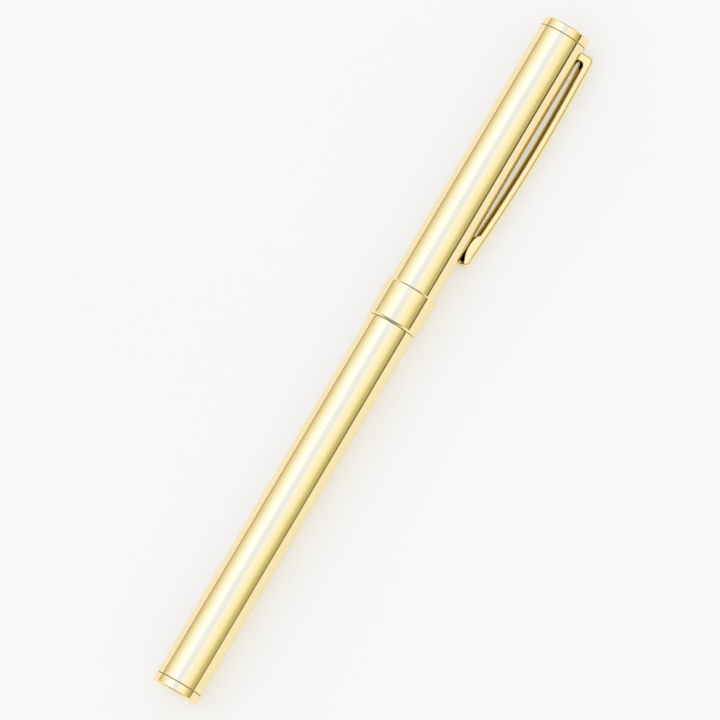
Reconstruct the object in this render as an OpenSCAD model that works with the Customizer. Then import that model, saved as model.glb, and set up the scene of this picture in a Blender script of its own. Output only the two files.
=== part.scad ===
// Capped calligraphy marker: slim polished metal pen, lying on its band and the edge of its clip.
// The pen is built standing on its barrel end, along Z, and lay_down() puts it along X at the end.

/* [Overall] */
// Length of the barrel, from its end to the mouth of the cap
barrel_length = 75.4; // [74:0.1:110]
// Length of the cap, from its mouth to its top
cap_length = 61.6; // [60:0.1:90]
// Outer diameter of the barrel tube and the cap tube
tube_od = 9; // [9:0.1:12]
// Wall of both tubes
tube_wall = 0.45; // [0.3:0.05:0.45]

/* [End plugs] */
// Length of each end plug that shows
plug_head = 1.8; // [1.2:0.1:4]
// Rounding of each end plug's rim
plug_rim = 0.28; // [0.1:0.02:0.5]
// Rise of the shallow dome on each end plug
plug_dome = 0.12; // [0:0.02:0.4]
// Radius of the flat at the middle of each dome
plug_flat = 2.8; // [1.5:0.1:3.4]
// Width of the groove between an end plug and its tube
groove_width = 0.15; // [0.05:0.05:0.3]
// Depth of the same groove
groove_depth = 0.2; // [0.05:0.05:0.3]
// Length of the barrel plug's spigot
barrel_spigot = 4.2; // [3:0.1:8]
// Length of the cap plug's spigot
cap_spigot = 7.6; // [6:0.1:8]

/* [Cap band] */
// Length of the raised band at the cap's mouth
band_length = 7.2; // [5:0.1:12]
// Height that the band stands proud of the tube
band_step = 0.4; // [0.2:0.05:0.8]
// Rounding of the band's mouth edge
band_round = 0.38; // [0.1:0.02:0.38]
// Thickness of the lip that covers the end of the cap tube
band_lip = 0.2; // [0.1:0.05:0.4]
// Gap between the band and the barrel when the cap is on
mouth_gap = 0.1; // [0.05:0.05:0.3]

/* [Clip] */
// Length of the clip
clip_length = 43.9; // [36:0.1:50]
// Width of the clip across its flanges
clip_width = 3.9; // [3:0.1:5]
// Thickness of the sheet that the clip is pressed from
clip_sheet = 0.4; // [0.3:0.05:0.6]
// Depth of the channel, from its outer face to the flanges' edges
clip_channel = 1.5; // [1.2:0.1:2]
// Height of the clip's outer face above the tube at its root
clip_root_rise = 2.45; // [2:0.05:3]
// Height of the outer face above the tube at its ball end
clip_tip_rise = 1.85; // [1.6:0.05:2.4]
// Bow of the outer face between the two
clip_bow = 0.68; // [0.2:0.02:1]
// Thickness of the root, along the pen
root_depth = 1.75; // [1.4:0.05:2.2]
// Distance that the clip's root reaches in from the tube's outside
tongue_reach = 1.9; // [1.4:0.1:2.4]

/* [Grip section] */
// Wall of the section inside the root of its thread
section_wall = 0.45; // [0.35:0.05:0.5]
// Depth of the thread
thread_depth = 0.25; // [0.15:0.05:0.3]
// Pitch of the thread
thread_pitch = 0.75; // [0.5:0.05:1]
// Full turns of thread
thread_turns = 8; // [5:1:10]
// Height of the section's shoulder above the thread
shoulder_step = 0.5; // [0.45:0.05:0.55]
// Length of the section from the barrel's mouth to the nose cone
grip_length = 27.7; // [27:0.1:28.1]
// Length of the grip sleeve
sleeve_length = 19; // [14:0.5:19]
// Thickness of the grip sleeve at its rear
sleeve_wall = 0.6; // [0.5:0.05:0.65]
// Amount that the sleeve narrows towards the nib
sleeve_taper = 0.32; // [0:0.02:0.4]
// Width of the trim ring behind the sleeve
trim_width = 1.3; // [0.8:0.1:2]

/* [Nose and nib] */
// Length of the nose cone
nose_length = 9; // [8:0.1:10]
// Wall of the nose cone at its front
nose_wall = 0.38; // [0.3:0.02:0.5]
// Wall of the nib holder at the corners of its slot
holder_wall = 0.26; // [0.2:0.02:0.4]
// Height of the step that keeps the nib holder from falling out of the nose
holder_step = 0.35; // [0.25:0.05:0.4]
// Width of the broad edge of the nib
nib_width = 3.2; // [2.6:0.1:3.9]
// Thickness of the nib
nib_thick = 1.6; // [1:0.1:1.8]
// Length of nib that stands out of the nose
nib_out = 7.5; // [5:0.1:8]
// Slant of the writing edge, from one corner to the other
nib_slant = 0.9; // [0:0.1:1.5]
// Thickness left at the writing edge
nib_edge = 0.4; // [0.2:0.05:0.8]
// Diameter of the nib's round tail
tail_od = 2; // [1.4:0.1:2.2]

/* [Ink refill] */
// Outer diameter of the refill
refill_od = 4.8; // [4:0.1:4.9]
// Wall of the refill's tube
refill_wall = 0.3; // [0.2:0.05:0.35]
// Length of the refill, without its neck and nipple
refill_length = 84; // [60:0.5:86]
// Thickness of the film round the ink core
film_wall = 0.12; // [0.08:0.02:0.16]
// Wire of the spring behind the refill
spring_wire = 0.45; // [0.3:0.05:0.5]

/* [Clearances] */
// Radial gap of a pressed joint
press_gap = 0.02; // [0.01:0.01:0.03]
// Radial gap of a sliding or turning joint
slide_gap = 0.05; // [0.04:0.01:0.08]
// Radial gap between parts that pass each other freely
free_gap = 0.08; // [0.06:0.01:0.12]
// Gap round the clip's root, which lets the clip flex
flex_gap = 0.15; // [0.12:0.01:0.2]

/* [Hidden] */

$fn = 64;
cut = 0.5; // how far a cutting shape runs past the face that it opens
arc_steps = 6;

gold = [0.93, 0.84, 0.52];
brass_colour = [0.8, 0.66, 0.35];
dark_plastic = [0.12, 0.12, 0.13];
milky_plastic = [0.9, 0.9, 0.86];
rubber_black = [0.07, 0.07, 0.07];
felt_black = [0.2, 0.2, 0.22];
steel = [0.72, 0.73, 0.75];

// Radii shared by pieces that fit each other
tube_r = tube_od / 2;
bore_r = tube_r - tube_wall;
pressed_r = bore_r - press_gap;
band_r = tube_r + band_step;
refill_r = refill_od / 2;
refill_in_r = refill_r - refill_wall;
film_r = refill_in_r - free_gap;
core_r = film_r - film_wall - press_gap;
tail_r = tail_od / 2;
tail_bore_r = tail_r + slide_gap;
section_bore_r = refill_r + slide_gap * 2;
thread_root_r = section_bore_r + section_wall;
thread_r = thread_root_r + thread_depth;
bush_r = thread_r + slide_gap;
shoulder_r = thread_r + shoulder_step;
section_r = shoulder_r - 0.1;
sleeve_core_r = section_r - press_gap - sleeve_wall;
sleeve_front_r = section_r - sleeve_taper;
neck_bore_r = refill_r - 0.55;
neck_r = neck_bore_r - free_gap;
holder_r = norm([nib_width, nib_thick]) / 2 + holder_wall;
nose_spigot_r = holder_r + holder_step;
liner_r = shoulder_r + free_gap;
snap_out_r = shoulder_r + 0.02;
snap_groove_r = snap_out_r - 0.46;
snap_in_r = snap_groove_r + free_gap;
spring_r = refill_r - 0.3;
spring_boss_r = spring_r - spring_wire / 2 - free_gap * 2;

// Heights above the barrel's end
barrel_mouth = barrel_length - mouth_gap;
pen_length = barrel_length + cap_length;
tube_start = plug_head + groove_width;
tube_end = pen_length - tube_start;
spring_seat = tube_start + barrel_spigot;
seat_gap = 0.05;
shoulder_start = barrel_mouth + seat_gap;
shoulder_end = shoulder_start + 1.45;
relief_start = shoulder_start - 1.55;
thread_start = relief_start - thread_turns * thread_pitch;
bush_length = thread_turns * thread_pitch + 3;
o_ring_r = 0.27;
o_ring_at = shoulder_start - 0.6;
snap_start = shoulder_end + 2.2;
snap_height = 1.4;
grip_end = barrel_mouth + grip_length;
sleeve_start = grip_end - sleeve_length;
trim_start = sleeve_start - trim_width;
refill_front = grip_end - 4;
refill_start = refill_front - refill_length;
nozzle_flange = 0.8;
nozzle_neck = 5;
nozzle_spigot = 4.2;
rear_plug_head = 1.2;
rear_plug_spigot = 3.8;
nipple_length = 1.8;
nose_spigot = 3.5;
holder_flange = 0.8;
holder_start = grip_end + nose_spigot;
nose_end = grip_end + nose_length;
nib_start = nose_end - 3.4;
nib_end = nose_end + nib_out;
tail_start = refill_front - nozzle_flange - nozzle_spigot - 6;
seal_start = grip_end + 0.5;
seal_height = 0.8;
inner_cap_start = seal_start + seal_height;
plug_bottom = tube_end - cap_spigot;
inner_cap_wall = 1.5;
liner_length = 14.4;
screw_head = 1;
screw_r = 1;
screw_depth = 4.4;

// Roll of the clip below level, at which its lower edge and the band both touch the table
clip_mid_r = tube_r + (clip_root_rise + clip_tip_rise) / 2 + clip_bow;
clip_high_r = clip_mid_r + pow(clip_root_rise - clip_tip_rise, 2) / (16 * clip_bow);
clip_edge_r = norm([clip_high_r, clip_width / 2]);
clip_roll = asin(band_r / clip_edge_r) - atan2(clip_width / 2, clip_high_r);
clip_side = clip_high_r * cos(clip_roll) + clip_width / 2 * sin(clip_roll);

// Points of an arc in a flat outline
function arc(centre, radius, from, to) = [
    for (i = [0:arc_steps])
    let (a = from + (to - from) * i / arc_steps)
    centre + radius * [cos(a), sin(a)]
];

// Lays the pen along X, cap to +X, clip to -Y, with the table at Z = 0
module lay_down() {
    translate([-pen_length / 2, (clip_side - band_r) / 2, band_r])
        rotate([0, 90, 0])
            children();
}

// Turns a shape made towards +X to the side that the clip is on
module clip_side_out() {
    rotate([0, 0, clip_roll - 90])
        children();
}

// A round wall from one height to another
module ring(outer, inner, from, to) {
    translate([0, 0, from])
        difference() {
            cylinder(h = to - from, r = outer);
            translate([0, 0, -cut])
                cylinder(h = to - from + 2 * cut, r = inner);
        }
}

// A solid rod from one height to another
module rod(radius, from, to) {
    translate([0, 0, from])
        cylinder(h = to - from, r = radius);
}

// The head and groove neck that both end plugs share, with the dome downwards
module plug_end() {
    rim = tube_r - plug_rim;
    rotate_extrude()
        polygon(concat(
            [[0, 0], [plug_flat, 0]],
            arc([rim, plug_dome + plug_rim], plug_rim, -90, 0),
            [[tube_r, plug_head], [tube_r - groove_depth, plug_head]],
            [[tube_r - groove_depth, tube_start], [0, tube_start]]
        ));
}

// Rings of thread between two radii, as one solid with a plain core
module thread_rings(core, root, crest, from) {
    rotate_extrude()
        polygon(concat(
            [[core, from], [root, from]],
            [
                for (i = [0:thread_turns - 1])
                each [
                    [root, from + i * thread_pitch + 0.1],
                    [crest, from + (i + 0.45) * thread_pitch],
                    [crest, from + (i + 0.6) * thread_pitch],
                    [root, from + (i + 1) * thread_pitch - 0.02]
                ]
            ],
            [[root, from + thread_turns * thread_pitch], [core, from + thread_turns * thread_pitch]]
        ));
}

// ---- Barrel ----

module barrel_tube() {
    color(gold)
        lay_down()
            ring(tube_r, bore_r, tube_start, barrel_mouth);
}

module barrel_end_plug() {
    color(gold)
        lay_down()
            union() {
                plug_end();
                rod(pressed_r, tube_start, spring_seat);
                rod(spring_boss_r, spring_seat, spring_seat + nipple_length);
            }
}

// Threaded bush pressed into the mouth of the barrel, with a recess for the O-ring
module barrel_thread_bush() {
    recess = 1;
    color(brass_colour)
        lay_down()
            difference() {
                rod(pressed_r, barrel_mouth - bush_length, barrel_mouth);
                rod(bush_r, barrel_mouth - bush_length - cut, barrel_mouth + cut);
                thread_rings(0, bush_r - 0.01, bush_r + thread_depth, thread_start);
                rod(bush_r + thread_depth + 0.1, barrel_mouth - recess, barrel_mouth + cut);
            }
}

// Height of the spring's wire after a number of turns: close turns at both ends, open ones between
function wire_height(turn, turns, span) =
    let (close = spring_wire + 0.03)
    turn < 1 ? turn * close
    : turn > turns - 1 ? span - (turns - turn) * close
    : close + (turn - 1) * (span - 2 * close) / (turns - 2);

module refill_spring() {
    span = refill_start - spring_seat - spring_wire - 0.04;
    turns = 4 + floor(span / 2);
    turn_steps = 16;
    sides = 8;
    rings = turns * turn_steps;
    wire_points = [
        for (i = [0:rings])
        for (j = [0:sides - 1])
        let (
            a = 360 * i / turn_steps,
            b = 360 * j / sides,
            r = spring_r + spring_wire / 2 * cos(b),
            z = wire_height(i / turn_steps, turns, span) + spring_wire / 2 * sin(b)
        )
        [r * cos(a), r * sin(a), z + spring_seat + spring_wire / 2 + 0.02]
    ];
    side_faces = [
        for (i = [0:rings - 1])
        for (j = [0:sides - 1])
        let (k = (j + 1) % sides)
        [i * sides + j, i * sides + k, (i + 1) * sides + k, (i + 1) * sides + j]
    ];
    first_end = [for (j = [sides - 1:-1:0]) j];
    last_end = [for (j = [0:sides - 1]) rings * sides + j];
    color(steel)
        lay_down()
            polyhedron(points = wire_points, faces = concat(side_faces, [first_end, last_end]));
}

// ---- Refill ----

module refill_tube() {
    color(milky_plastic)
        lay_down()
            ring(refill_r, refill_in_r, refill_start + rear_plug_head, refill_front - nozzle_flange);
}

module refill_rear_plug() {
    head_end = refill_start + rear_plug_head;
    color(dark_plastic)
        lay_down()
            union() {
                rod(spring_boss_r, refill_start - nipple_length, refill_start);
                rod(refill_r, refill_start, head_end);
                rod(refill_in_r - press_gap, head_end, head_end + rear_plug_spigot);
            }
}

// Front plug of the refill, with the bore that the nib's tail passes through
module refill_nozzle() {
    flange_start = refill_front - nozzle_flange;
    color(dark_plastic)
        lay_down()
            difference() {
                union() {
                    rod(refill_in_r - press_gap, flange_start - nozzle_spigot, flange_start);
                    rod(refill_r, flange_start, refill_front);
                    rod(neck_r, refill_front, refill_front + nozzle_neck);
                }
                rod(tail_bore_r, flange_start - nozzle_spigot - cut, refill_front + nozzle_neck + cut);
            }
}

module ink_core() {
    core_start = refill_start + rear_plug_head + rear_plug_spigot;
    core_end = refill_front - nozzle_flange - nozzle_spigot;
    color(felt_black)
        lay_down()
            difference() {
                rod(core_r, core_start, core_end);
                rod(tail_bore_r, tail_start - 1, core_end + cut);
            }
}

module core_film() {
    core_start = refill_start + rear_plug_head + rear_plug_spigot;
    core_end = refill_front - nozzle_flange - nozzle_spigot;
    color(milky_plastic)
        lay_down()
            ring(film_r, film_r - film_wall, core_start, core_end);
}

// ---- Grip section ----

module section_o_ring() {
    color(rubber_black)
        lay_down()
            translate([0, 0, o_ring_at])
                rotate_extrude()
                    translate([thread_root_r + slide_gap + o_ring_r, 0])
                        circle(r = o_ring_r);
}

// Grip section: thread, O-ring relief, shoulder, snap groove, sleeve core and nose spigot
module section_body() {
    color(dark_plastic)
        lay_down()
            difference() {
                union() {
                    thread_rings(0, thread_root_r, thread_r, thread_start);
                    rod(thread_root_r, relief_start, shoulder_start);
                    rod(shoulder_r, shoulder_start, shoulder_end);
                    rod(section_r, shoulder_end, snap_start);
                    rod(snap_groove_r, snap_start, snap_start + snap_height);
                    rod(section_r, snap_start + snap_height, trim_start);
                    rod(sleeve_core_r, trim_start, grip_end);
                    rod(nose_spigot_r, grip_end, grip_end + nose_spigot);
                }
                rod(section_bore_r, thread_start - cut, refill_front + seat_gap);
                rod(neck_bore_r, refill_front, grip_end + nose_spigot + cut);
            }
}

// Soft sleeve with shallow grooves across the grip
module grip_sleeve() {
    grooves = 7;
    groove = 0.12;
    spacing = sleeve_length / (grooves + 1);
    slope = sleeve_taper / sleeve_length;
    color(rubber_black)
        lay_down()
            rotate_extrude()
                polygon(concat(
                    [[sleeve_core_r + press_gap, sleeve_start], [section_r, sleeve_start]],
                    [
                        for (i = [1:grooves])
                        let (
                            z = sleeve_start + i * spacing,
                            r = section_r - slope * i * spacing
                        )
                        each [[r, z - 0.35], [r - groove, z - 0.15], [r - groove, z + 0.15], [r, z + 0.35]]
                    ],
                    [[sleeve_front_r, grip_end], [sleeve_core_r + press_gap, grip_end]]
                ));
}

module section_trim_ring() {
    color(gold)
        lay_down()
            ring(section_r, sleeve_core_r + press_gap, trim_start, sleeve_start);
}

// Tapered metal nose that holds the nib and its holder on the section
module nose_cone() {
    flange_end = holder_start + holder_flange;
    color(gold)
        lay_down()
            difference() {
                translate([0, 0, grip_end])
                    cylinder(h = nose_length, r1 = sleeve_front_r, r2 = holder_r + press_gap + nose_wall);
                rod(nose_spigot_r + press_gap, grip_end - cut, flange_end);
                rod(holder_r + press_gap, flange_end - cut, nose_end + cut);
            }
}

// Plastic insert with a flat slot for the nib and a round bore for its tail
module nib_holder() {
    slot = [nib_thick + 2 * press_gap, nib_width + 2 * press_gap];
    color(dark_plastic)
        lay_down()
            difference() {
                union() {
                    rod(nose_spigot_r, holder_start, holder_start + holder_flange);
                    rod(holder_r, holder_start + holder_flange, nose_end);
                }
                rod(tail_r + press_gap, holder_start - cut, nib_start + cut);
                translate([-slot[0] / 2, -slot[1] / 2, nib_start])
                    cube([slot[0], slot[1], nose_end - nib_start + cut]);
            }
}

// Pressed fibre nib: flat body, slanted broad edge and a round tail that reaches the ink core
module chisel_nib() {
    wedge = 3.2;
    broad_side = [
        [-nib_width / 2, nib_start], [nib_width / 2, nib_start],
        [nib_width / 2, nib_end], [-nib_width / 2, nib_end - nib_slant]
    ];
    thin_side = [
        [-nib_thick / 2, nib_start], [nib_thick / 2, nib_start],
        [nib_thick / 2, nib_end - wedge], [nib_edge / 2, nib_end],
        [-nib_edge / 2, nib_end], [-nib_thick / 2, nib_end - wedge]
    ];
    color(felt_black)
        lay_down()
            union() {
                intersection() {
                    rotate([90, 0, 90])
                        linear_extrude(height = nib_thick, center = true)
                            polygon(broad_side);
                    rotate([90, 0, 0])
                        linear_extrude(height = nib_width, center = true)
                            polygon(thin_side);
                }
                rod(tail_r, tail_start, nib_start + 0.5);
            }
}

// Split ring in the section's groove, which the cap's liner snaps over
module snap_ring() {
    split = 1.2;
    color(steel)
        lay_down()
            difference() {
                ring(snap_out_r, snap_in_r, snap_start + 0.1, snap_start + snap_height - 0.1);
                translate([0, -split / 2, snap_start - cut])
                    cube([snap_out_r + cut, split, snap_height + 2 * cut]);
            }
}

// ---- Cap ----

// Size of the clip's root, and of the openings that it passes through
clip_top = tube_end - 0.35;
root_low = clip_top - root_depth;

module root_opening(inner) {
    clip_side_out()
        translate([inner, -clip_width / 2 - flex_gap, root_low - flex_gap])
            cube([tube_r - inner + cut, clip_width + 2 * flex_gap, root_depth + 2 * flex_gap]);
}

module cap_tube() {
    color(gold)
        lay_down()
            difference() {
                ring(tube_r, bore_r, barrel_length + band_lip, tube_end);
                root_opening(0);
            }
}

// Raised band round the mouth of the cap, with a lip over the end of the tube
module cap_band() {
    top_round = 0.15;
    band_end = barrel_length + band_length;
    color(gold)
        lay_down()
            rotate_extrude()
                polygon(concat(
                    [[bore_r, barrel_length + band_lip], [bore_r, barrel_length]],
                    arc([band_r - band_round, barrel_length + band_round], band_round, -90, 0),
                    arc([band_r - top_round, band_end - top_round], top_round, 0, 90),
                    [[tube_r + press_gap, band_end], [tube_r + press_gap, barrel_length + band_lip]]
                ));
}

// Sleeve inside the cap's mouth, with the shallow groove that the snap ring finds
module cap_liner() {
    liner_start = barrel_length + band_lip;
    color(dark_plastic)
        lay_down()
            difference() {
                ring(pressed_r, liner_r, liner_start, liner_start + liner_length);
                rod(liner_r + 0.08, snap_start, snap_start + snap_height);
            }
}

// Top plug: polished head, spigot with a pocket for the clip's root and a bore for the screw
module cap_top_plug() {
    color(gold)
        lay_down()
            difference() {
                union() {
                    translate([0, 0, pen_length])
                        mirror([0, 0, 1])
                            plug_end();
                    rod(pressed_r, plug_bottom, tube_end);
                }
                root_opening(tube_r - tongue_reach - flex_gap);
                rod(screw_r + press_gap, plug_bottom - cut, plug_bottom + screw_depth + 0.2);
            }
}

// Cup inside the cap that keeps the nib moist, closed towards the top
module inner_cap() {
    cup_r = sleeve_front_r + 0.1;
    color(milky_plastic)
        lay_down()
            difference() {
                rod(pressed_r, inner_cap_start, plug_bottom);
                rod(cup_r, inner_cap_start - cut, plug_bottom - inner_cap_wall);
                rod(screw_r + press_gap, plug_bottom - inner_cap_wall - cut, plug_bottom + cut);
            }
}

module inner_cap_seal() {
    color(rubber_black)
        lay_down()
            ring(pressed_r - press_gap, sleeve_front_r - 0.02, seal_start, inner_cap_start);
}

// Screw that draws the top plug down on the inner cap
module clip_screw() {
    head_r = 1.9;
    slot = 0.5;
    head_start = plug_bottom - inner_cap_wall - screw_head;
    color(steel)
        lay_down()
            difference() {
                union() {
                    rod(head_r, head_start, head_start + screw_head);
                    rod(screw_r, head_start + screw_head, plug_bottom + screw_depth);
                }
                translate([-slot / 2, -head_r - cut, head_start - cut])
                    cube([slot, 2 * (head_r + cut), cut + 0.45]);
            }
}

// ---- Clip ----

clip_tip = clip_top - clip_length;
clip_root_r = tube_r + clip_root_rise;
clip_tip_r = tube_r + clip_tip_rise;
elbow_r = 0.9;
arm_start = clip_tip + 1.6;
arm_end = clip_top - elbow_r;
tongue_r = tube_r - tongue_reach;

// Distance of the clip's outer face from the pen's axis at a height
function clip_face(z) =
    let (t = (z - arm_start) / (arm_end - arm_start))
    clip_tip_r + (clip_root_r - clip_tip_r) * t + 4 * clip_bow * t * (1 - t);

// The outer face from tip to elbow, moved inwards by a thickness
function clip_back(inwards) = [
    for (i = [0:20])
    let (z = arm_start + (arm_end - arm_start) * i / 20)
    [clip_face(z) - inwards, z]
];

// Side view of the whole clip: bowed back, root turned in, and the rounded foot near the tip
module clip_side_view() {
    foot_r = sqrt(tube_r * tube_r - pow(clip_width / 2 - clip_sheet, 2)) + free_gap;
    foot_round = 1.1;
    foot_top = arm_start + 4.2;
    inner_bend = 0.5;
    polygon(concat(
        clip_back(0),
        arc([clip_root_r - elbow_r, arm_end], elbow_r, 0, 90),
        [[tongue_r, clip_top], [tongue_r, root_low]],
        arc([clip_root_r - clip_channel - inner_bend, root_low - inner_bend], inner_bend, 90, 0),
        [[clip_face(foot_top + 0.5) - clip_channel, foot_top + 0.5]],
        arc([foot_r + foot_round, foot_top - foot_round], foot_round, 150, 200),
        arc([foot_r + foot_round, foot_top - foot_round - 1], foot_round, 190, 230),
        [[foot_r + 0.9, clip_tip + 0.4]],
        arc([clip_tip_r - 0.75, clip_tip + 0.75], 0.75, -110, -20)
    ));
}

// Side view of the space inside the channel, below the back
module channel_side_view() {
    inside_r = elbow_r - clip_sheet;
    polygon(concat(
        clip_back(clip_sheet),
        arc([clip_root_r - elbow_r, arm_end], inside_r, 0, 90),
        [[0, clip_top - clip_sheet], [0, clip_tip + 0.9]],
        [[clip_tip_r - 1.6, clip_tip + 0.9]],
        arc([clip_tip_r - clip_sheet - 0.6, clip_tip + 1.2], 0.6, -90, 0)
    ));
}

// Extrudes a side view across the width of the clip
module across(width) {
    rotate([90, 0, 0])
        linear_extrude(height = width, center = true)
            children();
}

// Front view of the clip, with round corners at its tip
module clip_front_view() {
    corner = 1.3;
    half = clip_width / 2;
    union() {
        translate([-half, clip_tip + corner])
            square([clip_width, clip_length]);
        translate([-half + corner, clip_tip])
            square([clip_width - 2 * corner, clip_length]);
        for (side = [-1, 1])
            translate([side * (half - corner), clip_tip + corner])
                circle(r = corner);
    }
}

module clip() {
    color(gold)
        lay_down()
            clip_side_out()
                intersection() {
                    difference() {
                        across(clip_width)
                            clip_side_view();
                        across(clip_width - 2 * clip_sheet)
                            channel_side_view();
                    }
                    rotate([90, 0, 90])
                        linear_extrude(height = clip_high_r + cut)
                            clip_front_view();
                }
}

barrel_tube();
barrel_end_plug();
barrel_thread_bush();
refill_spring();
refill_tube();
refill_rear_plug();
refill_nozzle();
ink_core();
core_film();
section_o_ring();
section_body();
grip_sleeve();
section_trim_ring();
nose_cone();
nib_holder();
chisel_nib();
snap_ring();
cap_tube();
cap_band();
cap_liner();
cap_top_plug();
inner_cap();
inner_cap_seal();
clip_screw();
clip();
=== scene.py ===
from math import cos, pi, radians, sin, sqrt

import bmesh
import bpy
from mathutils import Matrix, Vector


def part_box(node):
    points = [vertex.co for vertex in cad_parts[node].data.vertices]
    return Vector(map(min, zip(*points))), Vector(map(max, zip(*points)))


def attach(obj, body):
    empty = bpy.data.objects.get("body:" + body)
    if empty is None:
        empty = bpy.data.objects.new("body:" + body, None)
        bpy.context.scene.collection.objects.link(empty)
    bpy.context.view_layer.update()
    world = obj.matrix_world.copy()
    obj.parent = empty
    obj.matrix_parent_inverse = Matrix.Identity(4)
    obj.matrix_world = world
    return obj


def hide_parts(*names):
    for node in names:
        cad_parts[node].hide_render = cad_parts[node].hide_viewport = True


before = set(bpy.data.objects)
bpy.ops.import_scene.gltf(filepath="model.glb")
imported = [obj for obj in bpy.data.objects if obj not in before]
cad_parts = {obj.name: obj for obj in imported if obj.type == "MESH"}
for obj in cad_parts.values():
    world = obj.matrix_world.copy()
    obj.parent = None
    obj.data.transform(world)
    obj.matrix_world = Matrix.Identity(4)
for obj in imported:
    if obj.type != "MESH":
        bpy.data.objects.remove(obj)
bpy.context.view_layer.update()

# ---- Camera ----
# A long lens looks down on the lying pen from a little to the clip's side and the barrel's end.
# The pen runs steeply up the picture, with the cap at the top right.

MM = 0.001
tube_low, tube_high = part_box("barrel_tube")
AXIS_Y = (tube_low.y + tube_high.y) / 2
AXIS_Z = (tube_low.z + tube_high.z) / 2
TUBE_R = (tube_high.z - tube_low.z) / 2

camera = bpy.data.objects.new("camera", bpy.data.cameras.new("camera"))
bpy.context.scene.collection.objects.link(camera)
bpy.context.scene.camera = camera
camera.data.lens = 397.3
camera.data.sensor_width = 36
camera.data.clip_start = 0.01
to_camera = Vector((-0.108, -0.206, 0.972)).normalized()
pen_line = (Vector((1, 0, 0)) - to_camera * to_camera.x).normalized()
pen_side = to_camera.cross(pen_line)
pen_slope = radians(59.35)
camera_right = pen_line * cos(pen_slope) - pen_side * sin(pen_slope)
camera_up = pen_line * sin(pen_slope) + pen_side * cos(pen_slope)
CAMERA_AWAY = 1.4
aim = Vector((-1.19 * MM, AXIS_Y + 1.75 * MM, AXIS_Z))
turned_to_pen = Matrix((camera_right, camera_up, to_camera)).transposed().to_4x4()
camera.matrix_world = Matrix.Translation(aim + to_camera * CAMERA_AWAY) @ turned_to_pen

# ---- Studio light ----
# White panels stand round the table: a warm one on the far side, a big cool one overhead, and
# one on the clip's side that falls away through olive to a dark line at the horizon.


def math_node(tree, operation, first, second=0.0, third=None):
    node = tree.nodes.new("ShaderNodeMath")
    node.operation = operation
    for socket, value in zip(node.inputs, (first, second, third)):
        if value is None:
            continue
        if isinstance(value, (int, float)):
            socket.default_value = value
        else:
            tree.links.new(value, socket)
    return node.outputs[0]


def mix_node(tree, factor, first, second, blend="MIX"):
    node = tree.nodes.new("ShaderNodeMix")
    node.data_type = "RGBA"
    node.blend_type = blend
    for label, value in (("Factor", factor), ("A", first), ("B", second)):
        if isinstance(value, tuple):
            node.inputs[label].default_value = (*value, 1)
        else:
            tree.links.new(value, node.inputs[label])
    return node.outputs["Result"]


def range_node(tree, value, start, end, at_start, at_end):
    node = tree.nodes.new("ShaderNodeMapRange")
    limits = {"From Min": start, "From Max": end, "To Min": at_start, "To Max": at_end}
    for label, limit in limits.items():
        node.inputs[label].default_value = limit
    tree.links.new(value, node.inputs["Value"])
    return node.outputs["Result"]


bpy.context.scene.view_settings.view_transform = "Standard"
studio = bpy.data.worlds.new("studio")
studio.use_nodes = True
bpy.context.scene.world = studio
tree = studio.node_tree
tree.nodes.clear()
sky_out = tree.nodes.new("ShaderNodeOutputWorld")
sky = tree.nodes.new("ShaderNodeBackground")
tree.links.new(sky.outputs[0], sky_out.inputs["Surface"])
direction = tree.nodes.new("ShaderNodeTexCoord")
parts = tree.nodes.new("ShaderNodeSeparateXYZ")
tree.links.new(direction.outputs["Generated"], parts.inputs[0])

# the light depends on how far a direction leans over from straight overhead
clip_wards = math_node(tree, "MULTIPLY", parts.outputs["Y"], -1)
lean = math_node(tree, "ARCTAN2", clip_wards, parts.outputs["Z"])
panels = tree.nodes.new("ShaderNodeValToRGB")
tree.links.new(math_node(tree, "MULTIPLY_ADD", lean, 1 / (2 * pi), 0.5), panels.inputs[0])
# the dark line at the horizon fades out towards the barrel's end of the studio
fading = range_node(tree, parts.outputs["X"], 0.06, 0.15, 1, 0)
horizon = mix_node(tree, fading, panels.outputs[0], (0.42, 0.38, 0.2), "LIGHTEN")
# matt surfaces and the table are lit by the plain white of the room
rays = tree.nodes.new("ShaderNodeLightPath")
room = mix_node(tree, rays.outputs["Is Diffuse Ray"], horizon, (1.0, 0.99, 0.975))
tree.links.new(room, sky.inputs["Color"])
# past the pen's two ends the studio is dim, which draws the turned edges as dark lines
along = math_node(tree, "ABSOLUTE", parts.outputs["X"])
tree.links.new(range_node(tree, along, 0.82, 0.92, 0.945, 0.34), sky.inputs["Strength"])

# degrees from overhead towards the clip's side, and the light from there
stops = [
    (-90, (0.36, 0.33, 0.25)),
    (-82, (0.68, 0.64, 0.49)),
    (-76, (0.80, 0.77, 0.60)),
    (-69, (0.86, 0.84, 0.70)),
    (-60, (0.98, 0.98, 0.96)),
    (-52, (1.04, 1.09, 1.24)),
    (-29, (1.13, 1.27, 1.85)),
    (-10.5, (1.13, 1.27, 1.85)),
    (-9.5, (0.915, 1.065, 1.65)),
    (14, (0.915, 1.065, 1.65)),
    (15, (1.03, 1.15, 1.45)),
    (32, (1.06, 1.11, 1.20)),
    (46, (1.05, 1.04, 0.97)),
    (53, (1.00, 0.98, 0.80)),
    (61, (0.82, 0.78, 0.55)),
    (70, (0.64, 0.60, 0.35)),
    (80, (0.57, 0.53, 0.29)),
    (83, (0.12, 0.09, 0.05)),
    (90, (0.09, 0.07, 0.04)),
]
ramp = panels.color_ramp
while len(ramp.elements) < len(stops):
    ramp.elements.new(0.5)
for element, (angle, light) in zip(ramp.elements, stops):
    element.position = 0.5 + angle / 360
    element.color = (*light, 1)

# ---- Table ----
# A plain matt white board with a faint eggshell mottle. It also glows faintly, a painted light that
# lifts the pen's shadow on it. The pen rests on it with its band and the edge of its clip.

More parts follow.
